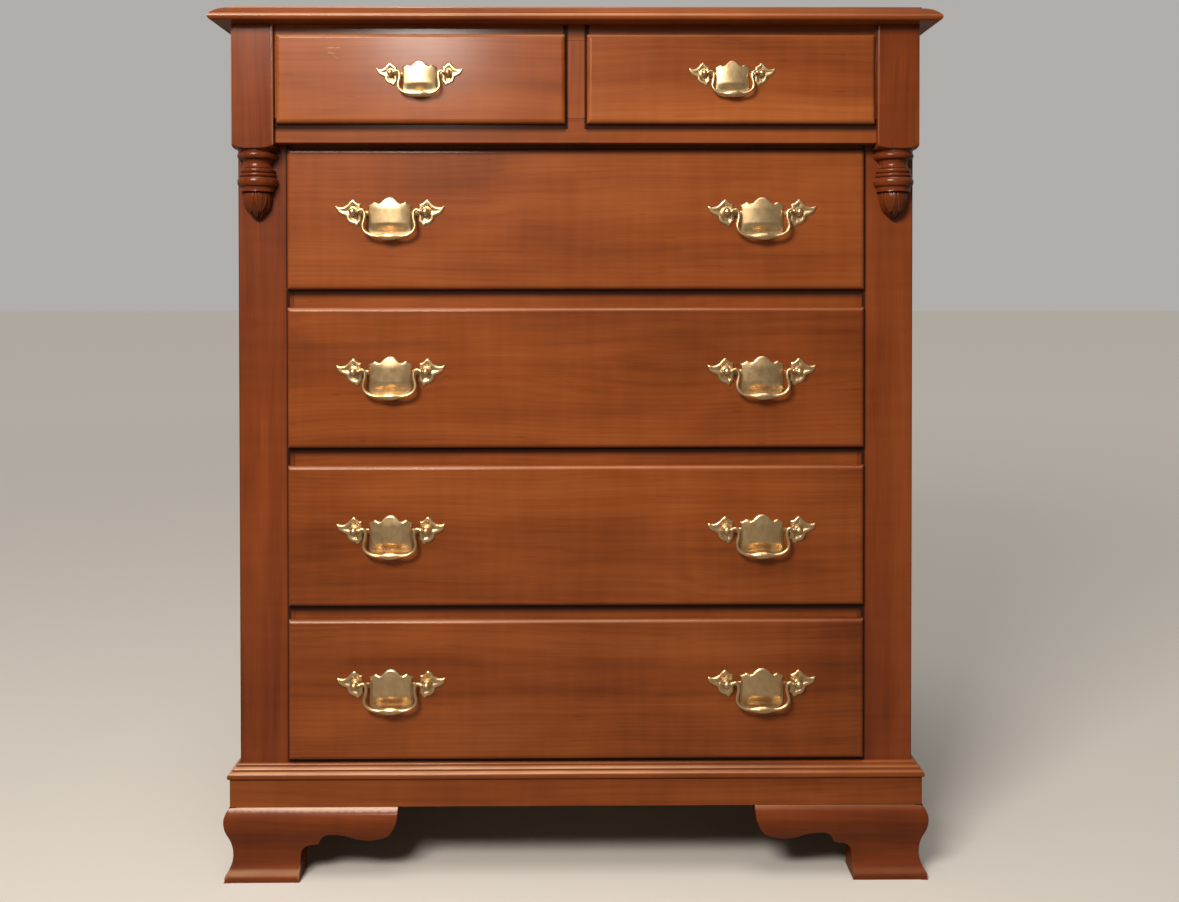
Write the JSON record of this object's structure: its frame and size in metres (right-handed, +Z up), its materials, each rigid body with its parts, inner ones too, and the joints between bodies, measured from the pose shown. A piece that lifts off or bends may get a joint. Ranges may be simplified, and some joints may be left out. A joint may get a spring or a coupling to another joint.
{
  "type": "chest of drawers",
  "caption": "Tall wooden chest with side-by-side small drawers over full-width drawers, on ogee bracket feet, with swinging brass bail pulls.",
  "frame": {"origin": "on the floor under the middle of the chest", "axes": "+Z up, front towards -Y, +X to the right of someone facing the front"},
  "size_m": [1.005, 0.513, 1.226],
  "materials": {
    "finished_wood": "satin lacquered reddish-brown maple",
    "secondary_wood": "planed, unfinished",
    "panel_wood": "thin plywood, unfinished",
    "brass": "antique satin brass",
    "steel": "zinc-plated"
  },
  "bodies": {
    "carcass": {"back_panel": "panel_wood", "base_moulding": "finished_wood", "drawer_guides": "secondary_wood", "dust_frames": "secondary_wood", "dust_panels": "panel_wood", "face_rails": "finished_wood", "feet_rear": "finished_wood", "foot_front_left": "finished_wood", "foot_front_right": "finished_wood", "frieze_rails": "finished_wood", "frieze_uprights": "finished_wood", "glue_blocks": "secondary_wood", "plinth": "finished_wood", "side_panels": "finished_wood", "split_turning_left": "finished_wood", "split_turning_right": "finished_wood", "stiles": "finished_wood", "top_board": "finished_wood", "top_cleats": "secondary_wood", "top_screws": "steel"},
    "upper_left_drawer": {"upper_left_drawer_bottom": "panel_wood", "upper_left_drawer_box": "secondary_wood", "upper_left_drawer_front": "finished_wood", "upper_left_drawer_pull_plates": "brass", "upper_left_drawer_pull_posts": "brass"},
    "upper_right_drawer": {"upper_right_drawer_bottom": "panel_wood", "upper_right_drawer_box": "secondary_wood", "upper_right_drawer_front": "finished_wood", "upper_right_drawer_pull_plates": "brass", "upper_right_drawer_pull_posts": "brass"},
    "long_drawer_1": {"long_drawer_1_bottom": "panel_wood", "long_drawer_1_box": "secondary_wood", "long_drawer_1_front": "finished_wood", "long_drawer_1_pull_plates": "brass", "long_drawer_1_pull_posts": "brass"},
    "long_drawer_2": {"long_drawer_2_bottom": "panel_wood", "long_drawer_2_box": "secondary_wood", "long_drawer_2_front": "finished_wood", "long_drawer_2_pull_plates": "brass", "long_drawer_2_pull_posts": "brass"},
    "long_drawer_3": {"long_drawer_3_bottom": "panel_wood", "long_drawer_3_box": "secondary_wood", "long_drawer_3_front": "finished_wood", "long_drawer_3_pull_plates": "brass", "long_drawer_3_pull_posts": "brass"},
    "long_drawer_4": {"long_drawer_4_bottom": "panel_wood", "long_drawer_4_box": "secondary_wood", "long_drawer_4_front": "finished_wood", "long_drawer_4_pull_plates": "brass", "long_drawer_4_pull_posts": "brass"},
    "long_drawer_1_bail_left": {"long_drawer_1_bail_left": "brass"},
    "long_drawer_1_bail_right": {"long_drawer_1_bail_right": "brass"},
    "long_drawer_2_bail_left": {"long_drawer_2_bail_left": "brass"},
    "long_drawer_2_bail_right": {"long_drawer_2_bail_right": "brass"},
    "long_drawer_3_bail_left": {"long_drawer_3_bail_left": "brass"},
    "long_drawer_3_bail_right": {"long_drawer_3_bail_right": "brass"},
    "long_drawer_4_bail_left": {"long_drawer_4_bail_left": "brass"},
    "long_drawer_4_bail_right": {"long_drawer_4_bail_right": "brass"},
    "upper_left_drawer_bail": {"upper_left_drawer_bail": "brass"},
    "upper_right_drawer_bail": {"upper_right_drawer_bail": "brass"}
  },
  "joints": [
    {"name": "upper_left_drawer_slide", "type": "slide", "parent": "carcass", "child": "upper_left_drawer", "axis": [0, -1, 0], "range_m": [0, 0.38]},
    {"name": "upper_right_drawer_slide", "type": "slide", "parent": "carcass", "child": "upper_right_drawer", "axis": [0, -1, 0], "range_m": [0, 0.38]},
    {"name": "long_drawer_1_slide", "type": "slide", "parent": "carcass", "child": "long_drawer_1", "axis": [0, -1, 0], "range_m": [0, 0.36]},
    {"name": "long_drawer_2_slide", "type": "slide", "parent": "carcass", "child": "long_drawer_2", "axis": [0, -1, 0], "range_m": [0, 0.36]},
    {"name": "long_drawer_3_slide", "type": "slide", "parent": "carcass", "child": "long_drawer_3", "axis": [0, -1, 0], "range_m": [0, 0.36]},
    {"name": "long_drawer_4_slide", "type": "slide", "parent": "carcass", "child": "long_drawer_4", "axis": [0, -1, 0], "range_m": [0, 0.36]},
    {"name": "upper_left_drawer_bail_swing", "type": "hinge", "parent": "upper_left_drawer", "child": "upper_left_drawer_bail", "pos_m": [-0.2165, -0.2403, 1.1335], "axis": [-1, 0, 0], "range_deg": [0, 90]},
    {"name": "upper_right_drawer_bail_swing", "type": "hinge", "parent": "upper_right_drawer", "child": "upper_right_drawer_bail", "pos_m": [0.2165, -0.2403, 1.1335], "axis": [-1, 0, 0], "range_deg": [0, 90]},
    {"name": "long_drawer_1_bail_left_swing", "type": "hinge", "parent": "long_drawer_1", "child": "long_drawer_1_bail_left", "pos_m": [-0.262, -0.2175, 0.9433], "axis": [-1, 0, 0], "range_deg": [0, 90]},
    {"name": "long_drawer_1_bail_right_swing", "type": "hinge", "parent": "long_drawer_1", "child": "long_drawer_1_bail_right", "pos_m": [0.262, -0.2175, 0.9433], "axis": [-1, 0, 0], "range_deg": [0, 90]},
    {"name": "long_drawer_2_bail_left_swing", "type": "hinge", "parent": "long_drawer_2", "child": "long_drawer_2_bail_left", "pos_m": [-0.262, -0.2175, 0.7193], "axis": [-1, 0, 0], "range_deg": [0, 90]},
    {"name": "long_drawer_2_bail_right_swing", "type": "hinge", "parent": "long_drawer_2", "child": "long_drawer_2_bail_right", "pos_m": [0.262, -0.2175, 0.7193], "axis": [-1, 0, 0], "range_deg": [0, 90]},
    {"name": "long_drawer_3_bail_left_swing", "type": "hinge", "parent": "long_drawer_3", "child": "long_drawer_3_bail_left", "pos_m": [-0.262, -0.2175, 0.49555], "axis": [-1, 0, 0], "range_deg": [0, 90]},
    {"name": "long_drawer_3_bail_right_swing", "type": "hinge", "parent": "long_drawer_3", "child": "long_drawer_3_bail_right", "pos_m": [0.262, -0.2175, 0.49555], "axis": [-1, 0, 0], "range_deg": [0, 90]},
    {"name": "long_drawer_4_bail_left_swing", "type": "hinge", "parent": "long_drawer_4", "child": "long_drawer_4_bail_left", "pos_m": [-0.262, -0.2175, 0.27755], "axis": [-1, 0, 0], "range_deg": [0, 90]},
    {"name": "long_drawer_4_bail_right_swing", "type": "hinge", "parent": "long_drawer_4", "child": "long_drawer_4_bail_right", "pos_m": [0.262, -0.2175, 0.27755], "axis": [-1, 0, 0], "range_deg": [0, 90]}
  ]
}
